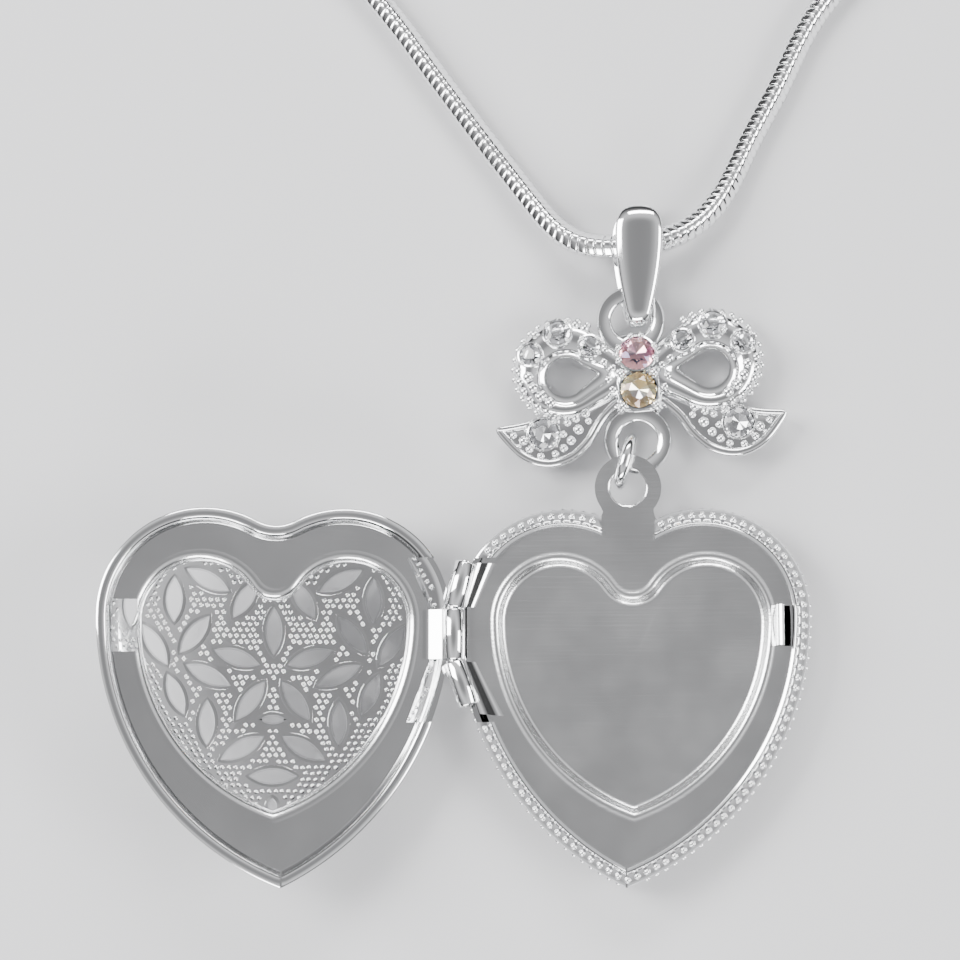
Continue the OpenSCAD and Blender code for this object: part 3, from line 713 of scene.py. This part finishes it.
def back_inner_plate():
    """Plate with the embossed heart pan, the tab, two hinge knuckles and the catch tongue."""
    edge = heart(OUTER, 0.5)
    rim = heart(PAN, -0.75)
    pan_middle, pan_depth, bulge, sheet = (0, HEART_Y - 3.5), 0.5, 0.06, 0.4
    bevel = [(-0.75, 0), (-0.62, 0.05), (-0.48, 0.09), (-0.32, 0.07), (-0.15, -0.06), (0.0, -0.25),
             (0.15, -0.41), (0.32, -pan_depth), (0.45, -pan_depth)]
    top = [raised(mixed(edge, rim, t), PLATE_TOP) for t in (0, 0.02, 0.35, 0.7, 0.96)]
    top += [raised(heart(PAN, inset), PLATE_TOP + dz) for inset, dz in bevel]
    floor_ring = heart(PAN, 0.6)
    pan_floor = [raised(scaled(floor_ring, pan_middle, s), PLATE_TOP - pan_depth + bulge * (1 - s) ** 1.5)
                 for s in (1, 0.85, 0.65, 0.45, 0.25, 0.1)]
    top += pan_floor
    low = [[(p[0], p[1], p[2] - sheet) for p in ring] for ring in top]
    shape = Shape()
    shape.loft(list(reversed(low)) + top)
    pan_start = (len(low) + top.index(pan_floor[0]) - 1) * len(edge)
    shape.groups[pan_start:] = [1] * (len(shape.faces) - pan_start)
    tab_r, hole_r = 2.5, 1.4
    neck = [(1.9, 12.35), (2.02, 11.9), (2.4, 11.4), (2.6, 10.0)]
    tab_outline = arc_points(TAB_AT, tab_r, -40, 220, 52)
    tab_outline += [(TAB_AT[0] - reach, y) for reach, y in neck]
    tab_outline += [(TAB_AT[0] + reach, y) for reach, y in reversed(neck)]
    tab = prism(tab_outline, PLATE_LOW, PLATE_TOP)
    tongue_x, tongue_half, window = 11, 1.5, (0.2, 0.95)
    low_y, high_y = CATCH_Y - tongue_half, CATCH_Y + tongue_half
    cutters = [prism(hinge_outline(0.92, 2.1, 2.6), 0, OVER),
               prism(box_outline(tongue_x + window[0], tongue_x + window[1], low_y, high_y), 0, OVER),
               prism(circle_points(TAB_AT, hole_r, 56), 0, OVER)]
    make("back_inner_plate", shape, "back_half", [satin, pan_satin], ["back_plate"], sharp=50,
         cutters=cutters, joined=[tab])
    fittings = Shape()
    knuckle(fittings, (HINGE_X, HIGH_Y, HINGE_Z), HIGH_LEAN, 0.05, KNUCKLE_LEN)
    knuckle(fittings, (HINGE_X, LOW_Y, HINGE_Z), LOW_LEAN, 0.05, KNUCKLE_LEN, up=False)
    leaf_strip(fittings, (HINGE_X + 1.6, HIGH_Y + 0.05, 0), (HINGE_X + 3.1, 8.5, 0),
               ((HINGE_X + 0.55, HIGH_Y + 0.05, 0), (HINGE_X + 1.5, 8.45, 0)))
    leaf_strip(fittings, (HINGE_X + 1.6, LOW_Y - 0.05, 0), (HINGE_X + 3.7, -2.95, 0),
               ((HINGE_X + 0.55, LOW_Y - 0.05, 0), (HINGE_X + 1.95, -2.8, 0)))
    tongue = [(tongue_x - 0.75, 2.7), (tongue_x - 0.7, 3.1), (tongue_x - 0.5, 3.4), (tongue_x - 0.42, 4.0),
              (tongue_x - 0.35, 4.5), (tongue_x - 0.2, 4.72), (tongue_x, 4.8), (tongue_x + 0.12, 4.7),
              (tongue_x + 0.2, 4.5), (tongue_x + 0.2, 2.6)]
    fittings.loft([[(x, y, z) for x, z in tongue] for y in (low_y, low_y + 0.05, high_y - 0.05, high_y)])
    fittings.tube(raised(circle_points(TAB_AT, hole_r + 0.03, 48), PLATE_TOP), 0.07, 8, ring_shaped=True)
    make("back_hinge_and_catch", fittings, "back_half", [polished], sharp=45)


def front_inner_frame():
    """Frame with the rolled heart opening, the catch slot and the middle knuckle."""
    edge = heart(OUTER, 0.5)
    roll = [(-0.85, 0), (-0.7, 0.03), (-0.5, 0.01), (-0.3, -0.1), (-0.15, -0.25), (-0.04, -0.45), (0, -0.7)]
    top = [raised(mixed(edge, heart(PAN, roll[0][0]), t), PLATE_TOP) for t in (0, 0.02, 0.35, 0.7, 0.96)]
    top += [raised(heart(PAN, inset), PLATE_TOP + dz) for inset, dz in roll]
    low = [raised(heart(PAN, -0.25), 2.3), raised(heart(PAN, -0.4), 2.5),
           raised(heart(PAN, -0.85), PLATE_LOW), raised(edge, PLATE_LOW)]
    shape = Shape(to_front)
    shape.loft(top + low, ring_shaped=True)
    slot = box_outline(10.15, 12.45, CATCH_Y - 1.95, CATCH_Y + 1.95)
    make("front_inner_frame", shape, "front_half", [frame_satin], ["front_frame"], sharp=50,
         cutters=[prism(hinge_outline(1.8, 3.5, 3.5), 0, OVER, to_front), prism(slot, 0, OVER, to_front)])
    fittings = Shape(to_front)
    knuckle(fittings, (HINGE_X, LOW_Y, HINGE_Z), 0, 0.1, HIGH_Y - LOW_Y - 0.1)
    leaf_strip(fittings, (HINGE_X + 2.3, LOW_Y + 0.15, 0), (HINGE_X + 2.3, HIGH_Y - 0.15, 0),
               ((HINGE_X + 0.45, LOW_Y + 0.15, 0), (HINGE_X + 0.45, HIGH_Y - 0.15, 0)))
    make("front_hinge_knuckle", fittings, "front_half", [polished], sharp=45)


# ---------------------------------------------------------------- bow, stones and links

BOW_AT = (0.5, 22.95)
BOW_TURN = math.radians(3)


def to_bow(p):
    c, s = math.cos(BOW_TURN), math.sin(BOW_TURN)
    return Vector((BOW_AT[0] + p[0] * c - p[1] * s, BOW_AT[1] + p[0] * s + p[1] * c, p[2]))


def tapered(start, start_r, end, end_r, steps=24):
    """Outline of two discs joined by their common tangents."""
    gap = math.dist(start, end)
    lean = math.degrees(math.acos((start_r - end_r) / gap))
    aim = math.degrees(math.atan2(end[1] - start[1], end[0] - start[0]))
    return (arc_points(start, start_r, aim + lean, aim + 360 - lean, steps)
            + arc_points(end, end_r, aim - lean, aim + lean, steps))


def ray_ring(outline, centre, steps):
    """Points where evenly turned rays from centre meet an outline."""
    out = []
    for k in range(steps):
        angle = 2 * math.pi * k / steps
        dx, dy = math.cos(angle), math.sin(angle)
        best = 0.01
        for (ax, ay), (bx, by) in sides(outline):
            ex, ey = bx - ax, by - ay
            det = dx * -ey + ex * dy
            if abs(det) < 1e-12:
                continue
            t = ((ax - centre[0]) * -ey + ex * (ay - centre[1])) / det
            u = (dx * (ay - centre[1]) - dy * (ax - centre[0])) / det
            if t > 0 and -1e-6 <= u <= 1 + 1e-6:
                best = max(best, t)
        out.append((centre[0] + dx * best, centre[1] + dy * best))
    return out


def mirrored(points, side):
    return [(side * p[0], *p[1:]) for p in points]


# Stones: place on the bow, width, material, and how far the table leans to the right and up
STONES = {
    "upper_centre_stone": ((0, 1.45, 2.9), 2.7, rose, (0.02, 0.22)),
    "lower_centre_stone": ((0, -1.35, 2.9), 2.76, gold, (0.05, -0.05)),
}
LOOP_STONES = [("loop_top", 5.9, 3.45, 2.75, 2, 0.08, 0.3), ("loop_side", 8.1, 1.9, 2.75, 1.7, 0.3, 0.14),
               ("loop_inner", 3.5, 2.3, 2.75, 1.6, -0.14, 0.22)]
TAIL_STONES = [("tail", 7.4, -4.2, 2.35, 2.3, 0.08, -0.1)]
for group in (LOOP_STONES, TAIL_STONES):
    for side, word in ((-1, "left"), (1, "right")):
        for part, x, y, z, width, lean_x, lean_y in group:
            STONES[f"{word}_{part}_stone"] = ((side * x, y, z), width, clear, (side * lean_x, lean_y))
# Right half of the bow, whose left half mirrors it
LOOP_CENTRE = (5.2, 0.1)
LOOP_ENDS = ((5.55, 0.7), 3.9, (1.2, 0.2), 1.5)
OPENING_ENDS = ((5.45, 0), 1.5, (3.1, 0.1), 0.12)
UPPER_TAIL_EDGE = [(1.6, -0.2, 0), (3.4, -1.5, 0), (5.3, -2.5, 0), (7.2, -3.0, 0), (9.0, -3.4, 0),
                   (10.9, -3.6, 0)]
LOWER_TAIL_EDGE = [(1.5, -1.9, 0), (2.9, -3.2, 0), (4.0, -4.8, 0), (5.4, -6.0, 0), (7.3, -6.4, 0),
                   (9.2, -5.6, 0), (10.9, -3.6, 0)]
# x, y and radius of the beads on a tail
TAIL_BEADS = [
    (3.4, -2.05, 0.26), (4.15, -2.75, 0.36), (3.95, -3.35, 0.26), (4.9, -3.15, 0.3), (4.75, -3.95, 0.4),
    (5.55, -3.4, 0.3), (5.35, -4.75, 0.36), (5.95, -5.3, 0.32), (6.6, -5.7, 0.28), (6.35, -3.25, 0.26),
    (7.7, -5.8, 0.28), (8.55, -5.25, 0.3), (8.95, -4.55, 0.38), (8.6, -3.75, 0.26), (9.7, -4.1, 0.28),
    (5.9, -4.25, 0.28), (2.75, -1.75, 0.24), (9.35, -5.0, 0.22)]
KNOT_BEADS = [(2.4, 1.9), (2.0, -1.1), (1.85, 0.55), (2.5, 1.05), (2.25, -0.35)]
# Rows of beads above this height keep clear of the stones
STONES_LOW = 1.8


def seat(at, lean):
    """Moves a point from a stone's own frame to the bow's frame."""
    turn = Vector((0, 0, 1)).rotation_difference(Vector((*lean, 1)).normalized())
    return lambda p: Vector(at) + turn @ Vector(p)


def stone_piece(name, at, width, material, lean):
    """A round brilliant with table, star, kite and girdle facets over a foiled pavilion."""
    r, crown_h, depth = width / 2, 0.17 * width, 0.06 + 0.13 * width
    turn = math.pi / 8
    seated = seat(at, lean)

    def ring(radius, z, count, shift=0.0):
        return [seated((radius * math.cos(shift + 2 * math.pi * k / count),
                        radius * math.sin(shift + 2 * math.pi * k / count), z)) for k in range(count)]

    shape = Shape(to_bow)
    table, star = ring(0.55 * r, crown_h, 8), ring(0.8 * r, 0.06 + 0.5 * (crown_h - 0.06), 8, turn)
    girdle, below = ring(r, 0.06, 16), ring(r, -0.06, 16)
    waist, culet = ring(0.45 * r, -0.62 * depth, 8, turn), [seated((0, 0, -depth))]
    faces, foils = [list(range(8))], []
    for k in range(8):
        n = (k + 1) % 8
        t, tn, m, mp = k, n, 8 + k, 8 + (k - 1) % 8
        g, g1, g2 = 16 + 2 * k, 16 + 2 * k + 1, 16 + (2 * k + 2) % 16
        faces += [[t, m, tn], [t, mp, g, m], [m, g, g1], [m, g1, g2]]
        u, u1, u2 = g + 16, g1 + 16, g2 + 16
        faces += [[g, u, u1, g1], [g1, u1, u2, g2]]
        w, wp, tip = 48 + k, 48 + (k - 1) % 8, 56
        foils += [[w, u1, u], [w, u2, u1], [tip, w, u, wp]]
    points = table + star + girdle + below + waist + culet
    shape.points = [to_bow(p) for p in points]
    shape.faces = faces + foils
    shape.groups = [0] * len(faces) + [1] * len(foils)
    under = {rose: rose_foil, gold: gold_foil}.get(material, foil)
    make(name.replace("_stone", "_crystal"), shape, "bow", [material, under], [name], sharp=1)


LOOP_STEPS = 96
# How far from the loop's outside towards its opening, and how high its domed top is there
LOOP_DOME = ((0.06, 1.95), (0.15, 2.25), (0.3, 2.5), (0.45, 2.58), (0.6, 2.5), (0.75, 2.3), (0.88, 2.15))
# Distance from the opening, and height, round the slanted rim
RIM_SECTION = ((0.66, 1.9), (0.66, 2.36), (0.58, 2.48), (0.12, 2.66), (0.02, 2.66), (-0.06, 2.56),
               (-0.07, 1.9))


def opening_rim(grow):
    """The teardrop opening's outline, grown outwards."""
    wide_at, wide_r, (point_x, point_y), _ = OPENING_ENDS
    teardrop = tapered(wide_at, wide_r + grow, (point_x - 0.5 * grow, point_y), 0.14 + grow)
    return ray_ring(teardrop, LOOP_CENTRE, LOOP_STEPS)


def bow_loops(shape):
    """Two convex pave loops, each with a polished teardrop rim round its opening."""
    outline = ray_ring(tapered(*LOOP_ENDS), LOOP_CENTRE, LOOP_STEPS)
    hole = ray_ring(tapered(*OPENING_ENDS), LOOP_CENTRE, LOOP_STEPS)
    for side in (-1, 1):
        out, low = mirrored(outline, side), mirrored(hole, side)
        rings = [raised(low, 0.85), raised(mixed(low, out, 0.04), 0.8), raised(mixed(low, out, 0.9), 0.8),
                 raised(out, 1.0), raised(out, 1.5)]
        rings += [raised(mixed(out, low, u), z) for u, z in LOOP_DOME]
        rings.append(raised(low, 2.1))
        shape.loft(rings, ring_shaped=True)
        rim = [raised(mirrored(opening_rim(grow), side), z) for grow, z in RIM_SECTION]
        shape.loft(rim, ring_shaped=True)


def bead_row(shape, path, pitch, radius, z, avoid):
    """Beads along a path, leaving out those that would sit in one of the stones to avoid."""
    for p in spaced(path, pitch):
        if all(math.dist((p.x, p.y), at[:2]) > width / 2 + 0.7 * radius for at, width in avoid):
            shape.bead((p.x, p.y, z), radius, 12, 8)


def bow_beads(shape):
    """Prong beads: rows on the loops' edges and between the stones, scattered ones on the tails."""
    stones = [(at, width) for at, width, _, _ in STONES.values()]
    wide_at, wide_r, narrow_at, narrow_r = LOOP_ENDS
    # How far outside the loop's outline each row lies, its pitch, and the beads' radius and height
    rows = ((-0.05, 0.76, 0.33, 1.55), (-0.42, 0.82, 0.38, 2.12), (-1.08, 0.92, 0.42, 2.4))
    for side in (-1, 1):
        for grow, pitch, radius, z in rows:
            outline = tapered(wide_at, wide_r + grow, narrow_at, narrow_r + grow)
            # The part near the knot and the part over the tail carry no beads
            path = [Vector((side * x, y, 0)) for x, y in outline
                    if x > 2.2 and not (y < -1.3 and x < 6.6)]
            split = max(range(len(path)), key=lambda k: (path[k] - path[k - 1]).length)
            path = path[split:] + path[:split]
            bead_row(shape, path, pitch, radius, z, stones if z > STONES_LOW else ())
        for x, y, radius in TAIL_BEADS:
            shape.bead((side * x, y, 1.8), radius, 12, 8)
        for x, y in KNOT_BEADS:
            shape.bead((side * x, y, 2.25), 0.36, 12, 8)


# How far from a tail's upper edge to its lower one, and height, round its section
TAIL_SECTION = ((0, 0.7), (0, 1.65), (0.1, 1.75), (0.5, 1.78), (0.9, 1.75), (1, 1.65), (1, 0.7), (0.9, 0.6),
                (0.1, 0.6))


def bow_tails(shape):
    """Two curved tails: a recessed field between polished borders."""
    upper, lower = curve_points(UPPER_TAIL_EDGE, 8), curve_points(LOWER_TAIL_EDGE, 8)
    count = 48
    upper = spaced(upper, sum((b - a).length for a, b in zip(upper, upper[1:])) / count)
    lower = spaced(lower, sum((b - a).length for a, b in zip(lower, lower[1:])) / count)
    for side in (-1, 1):
        rings = []
        for a, b in zip(upper[:-1], lower[:-1]):
            ring = [a.lerp(b, u) for u, _ in TAIL_SECTION]
            rings.append([(side * p.x, p.y, z) for p, (_, z) in zip(ring, TAIL_SECTION)])
        shape.loft(rings)
        borders = ((lower, 0.36, 0.3, 1.75), (upper[16:], 0.25, 0.26, 1.85))
        for edge, width, height, z in borders:
            path = mirrored([(p.x, p.y, z) for p in edge], side)
            last = len(path) - 1
            oval = circle_points((0, 0), 1, 12)
            shape.sweep(path, lambda k: [(width * a * (0.55 if k in (0, last) else 1), height * 1.2 * b)
                                         for a, b in oval])


def bow_knot(shape):
    """The knot: a rounded block, the square prong setting and the tilted upper collar."""
    steps = 40
    # Middle, half size, top and radius of the stone's seat (0 for none)
    blocks = (((0, 0), (1.75, 3.1), 2.25, 0), ((0, -1.35), (1.62, 1.62), 2.85, 1.42))
    for (x, y), (w, h), top, seat_r in blocks:
        def outline(grow):
            return [(x + (w + grow) * math.copysign(abs(math.cos(t)) ** 0.45, math.cos(t)),
                     y + (h + grow) * math.copysign(abs(math.sin(t)) ** 0.45, math.sin(t)))
                    for t in [2 * math.pi * k / steps for k in range(steps)]]
        rings = [raised(outline(-0.3), 0.6), raised(outline(0), 0.75), raised(outline(0), top - 0.15),
                 raised(outline(-0.12), top)]
        if seat_r:
            hollow = circle_points((x, y), seat_r, steps)
            rings += [raised(hollow, top), raised(hollow, top - 0.55)]
        else:
            rings.append(raised(outline(-0.5), top - 0.05))
        shape.loft(rings)
    setting_y = STONES["lower_centre_stone"][0][1]
    prong = ((1.42, 0.8), (1.42, 2.9), (1.25, 3.25))
    for sx, sy in ((-1, -1), (-1, 1), (1, -1), (1, 1)):
        line = [(sx * reach, setting_y + sy * reach, z) for reach, z in prong]
        shape.tube(line, 0.32, up=(1, 0, 0))
        shape.bead((sx * 1.22, setting_y + sy * 1.22, 3.22), 0.33, 12, 8)
    at, width, _, lean = STONES["upper_centre_stone"]
    seated = seat(at, lean)
    reach = width / 2
    collar = ((reach * 0.5, -1.6), (reach + 0.05, -1.2), (reach + 0.2, -0.15), (reach + 0.14, 0.02),
              (reach + 0.02, 0.05), (reach - 0.05, -0.08), (reach * 0.2, -0.42 * width))
    shape.loft([[seated((x, y, z)) for x, y in circle_points((0, 0), r, steps)] for r, z in collar])
    for angle in (20, 75, 105, 160, 200, 340):
        shape.bead(seated(on_circle((0, 0), 1.05 * reach, angle, 0.1)), 0.27, 12, 8)


def flat_ring(shape, centre, hole, outer, low, high):
    """A flat ring with bevelled edges."""
    bevel = 0.2
    section = [(hole, low + bevel), (hole + bevel, low), (outer - bevel, low), (outer, low + bevel),
               (outer, high - bevel), (outer - bevel * 0.8, high), (hole + bevel * 1.2, high),
               (hole, high - bevel)]
    shape.loft([raised(circle_points(centre, r, 72), z) for r, z in section], ring_shaped=True)


def stone_cup(shape, at, width, lean):
    """A small round cup with four bead prongs, which holds a clear stone."""
    seated = seat(at, lean)
    reach = width / 2 + 0.02
    section = ((reach * 0.3, -1.1), (reach + 0.1, -0.6), (reach + 0.16, -0.1), (reach + 0.1, 0.03),
               (reach, 0.05), (reach - 0.06, -0.08), (reach * 0.2, -0.4 * width - 0.05))
    shape.loft([[seated((x, y, z)) for x, y in circle_points((0, 0), r, 32)] for r, z in section])
    for x, y in arc_points((0, 0), reach, 45, 405, 4):
        shape.bead(seated((x, y, 0.1)), 0.22)


def bow():
    """The bow casting and the stones in it."""
    shape = Shape(to_bow)
    bow_loops(shape)
    bow_tails(shape)
    bow_knot(shape)
    bow_beads(shape)
    for y in (4.15, -5.1):
        flat_ring(shape, (-0.3, y), hole=1.5, outer=2.6, low=1.5, high=2.35)
    for at, width, material, lean in STONES.values():
        if material == clear:
            stone_cup(shape, at, width, lean)
    make("bow_casting", shape, "bow", [cast], ["bow_frame"], sharp=50)
    for name, (at, width, material, lean) in STONES.items():
        stone_piece(name, at, width, material, lean)


def link_ring():
    """The bent wire ring between the bow and the tab, with its closed seam."""
    turn = math.radians(-16)
    centre, radius, wire_r = Vector((-0.45, 16.2, 2.28)), 1.8, 0.45
    ahead = Vector((-math.sin(turn), math.cos(turn), 0))
    side = Vector((math.cos(turn), math.sin(turn), 0))
    seam_at, half_seam = math.radians(-70), math.radians(2)
    count = 90
    path = []
    for k in range(count + 1):
        angle = seam_at + half_seam + (2 * math.pi - 2 * half_seam) * k / count
        path.append(centre + ahead * (radius * math.cos(angle)) + Vector((0, 0, radius * math.sin(angle))))
    whole = circle_points((0, 0), wire_r, 16)
    # The wire's two cut ends are a little thinner, which shows the seam
    cut = circle_points((0, 0), 0.85 * wire_r, 16)
    shape = Shape()
    shape.sweep(path, lambda k: cut if k in (0, count) else whole, up=side)
    make("link_ring", shape, "jump_ring", [polished], ["jump_ring"])


def bail():
    """A tapered loop with a domed outside and a flat inside."""
    x_middle, wide_y = 0.5, 33.6
    top_at, top_r, foot_at, foot_r = (34.4, 2.15), 1.7, (27.75, 1.95), 1.1
    narrowest, widest = 0.55, 1.79
    line = tapered(top_at, top_r, foot_at, foot_r, 40)
    line = spaced([Vector((0, y, z)) for y, z in line], 0.2, True)

    def half_width(y):
        if y > wide_y:
            return widest * math.sqrt(max(0.12, 1 - ((y - wide_y) / 2.7) ** 2))
        start_y = foot_at[0] - 1.5
        rise = max(0.0, (y - start_y) / (wide_y - start_y))
        return narrowest + (widest - narrowest) * math.sin(math.pi / 2 * rise)

    def section(k):
        w = half_width(line[k].y)
        rise = 0.14 + 0.19 * w
        angles = [math.pi * n / 18 for n in range(19)]
        dome = [(w * math.cos(a), rise * math.sin(a) ** 0.9 - 0.08) for a in angles]
        inside = ((-0.94, -0.2), (-0.5, -0.29), (0, -0.31), (0.5, -0.29), (0.94, -0.2))
        return dome + [(w * a, b) for a, b in inside]

    shape = Shape()
    rings = []
    count = len(line)
    middle = sum(line, Vector()) / count
    for k, at in enumerate(line):
        ahead = (line[(k + 1) % count] - line[k - 1]).normalized()
        out = Vector((0, ahead.z, -ahead.y))
        if out.dot(at - middle) < 0:
            out.negate()
        # The bail stands a little askew: its front lies further to the right than its back
        lean = 0.11 * (2.1 - at.z)
        rings.append([Vector((x_middle - lean + a, at.y, at.z)) + out * b for a, b in section(k)])
    shape.loft(rings, ring_shaped=True)
    make("bail_loop", shape, "bail", [polished], ["bail"], sharp=75)


# ---------------------------------------------------------------- chain and clasp

CHAIN_D = 2
COIL_R = 14.5
COIL_TURNS = 2.3
TURN_PITCH = 2.15
COIL_END_R = COIL_R - TURN_PITCH * COIL_TURNS
CURL_R = 4.3
CAP_Z = 1.3
LINK_PITCH = 0.62
BAIL_MIDDLE = (0.5, 32.9, 2.15)
STRANDS = {
    "left": {"coil": (-17.5, 71), "join": 195, "way": -1, "route": [
        BAIL_MIDDLE, (-0.8, 32.8, 2.15), (-2.1, 32.8, 2.1), (-3.6, 33.1, 1.95), (-5, 33.8, 1.75),
        (-6.3, 35, 1.5), (-7.8, 36.9, 1.2), (-9.5, 39.2, 1), (-11.3, 41.6, 1), (-14.7, 46.3, 1),
        (-18.2, 51.2, 1), (-22.6, 56.6, 1), (-27, 61.4, 1)]},
    "right": {"coil": (15.5, 71), "join": -15, "way": 1, "route": [
        BAIL_MIDDLE, (1.9, 33.1, 2.15), (3.3, 33.6, 2.05), (4.6, 34.3, 1.85), (5.9, 35.4, 1.6),
        (7.1, 37, 1.3), (8.2, 39.1, 1.05), (9.3, 41.4, 1), (11.3, 45.1, 1), (14.5, 51.2, 1),
        (20, 57.3, 1), (25.4, 62, 1)]},
}


def strand_path(strand):
    """The strand's centreline: from the bail to the coil, round it, and curling into its end cap."""
    coil, join, way = strand["coil"], strand["join"], strand["way"]
    lying = CHAIN_D / 2
    route = strand["route"] + [on_circle(coil, COIL_R, join, lying)]
    path = curve_points(route, 8)[:-1]
    steps = round(60 * COIL_TURNS)
    for k in range(steps):
        turns = COIL_TURNS * k / steps
        radius = COIL_R - TURN_PITCH * turns
        path.append(Vector(on_circle(coil, radius, join + way * 360 * turns, lying)))
    end = join + way * 360 * COIL_TURNS
    middle = on_circle(coil, COIL_END_R - CURL_R, end, 0)
    curl_steps = 12
    for k in range(curl_steps + 1):
        z = lying + (CAP_Z - lying) * k / curl_steps
        path.append(Vector(on_circle(middle, CURL_R, end + way * 90 * k / curl_steps, z)))
    return path


def snake_strand(side):
    """A square snake chain: one wavy-edged link after another, with a groove between them."""
    path = strand_path(STRANDS[side])
    length = sum((b - a).length for a, b in zip(path, path[1:]))
    links = round(length / LINK_PITCH)
    fine = spaced(path, LINK_PITCH / 8)
    section_points, roll = 20, math.radians(38)
    half_side, squareness = 0.79, 5
    wave = 0.126
    # How far along a link, and how wide it is there
    profile = [(0.03, 0.88), (0.1, 0.985), (0.22, 1.0), (0.78, 1.0), (0.9, 0.985), (0.97, 0.88)]
    # A rounded square: both offsets from the centreline, and how far a link's wavy edge runs ahead there
    square = []
    for k in range(section_points):
        angle = 2 * math.pi * k / section_points
        roundness = abs(math.cos(angle)) ** squareness + abs(math.sin(angle)) ** squareness
        reach = half_side * roundness ** (-1 / squareness)
        x, y = reach * math.cos(angle + roll), reach * math.sin(angle + roll)
        square.append((x, y, wave * math.sin(2 * angle)))
    shape = Shape()
    rings = []
    total = len(fine) - 1
    for n in range(links):
        for along, swell in profile:
            ring = []
            for a, b, shift in square:
                s = min(max((n + along + shift) / links * total, 0), total - 1e-6)
                k = int(s)
                at = fine[k].lerp(fine[k + 1], s - k)
                ahead = (fine[min(k + 2, total)] - fine[max(k - 1, 0)]).normalized()
                across = ahead.cross(Vector((0, 0, 1))).normalized()
                ring.append(at + across * (a * swell) + across.cross(ahead) * (b * swell))
            rings.append(ring)
    shape.loft(rings)
    strand = make(side + "_snake_chain", shape, "chain", [chain_metal],
                  [side + "_chain", side + "_chain_coil"], sharp=75)


def finish_cad_nodes():
    """Metals for the small fittings whose CAD shape is shown."""
    for name in ["hinge_pin"] + LEFT_FITTINGS + RIGHT_FITTINGS:
        nodes[name].data.materials.clear()
        nodes[name].data.materials.append(steel if name in ("clasp_rivet", "clasp_spring") else polished)


LEFT_FITTINGS = ["left_end_cap", "end_ring"]
RIGHT_FITTINGS = ["right_end_cap", "clasp_ring", "clasp_body", "clasp_lever", "clasp_rivet", "clasp_spring"]

snake_strand("left")
snake_strand("right")
front_cover()
front_inner_frame()
back_cover()
back_inner_plate()
bow()
link_ring()
bail()
finish_cad_nodes()
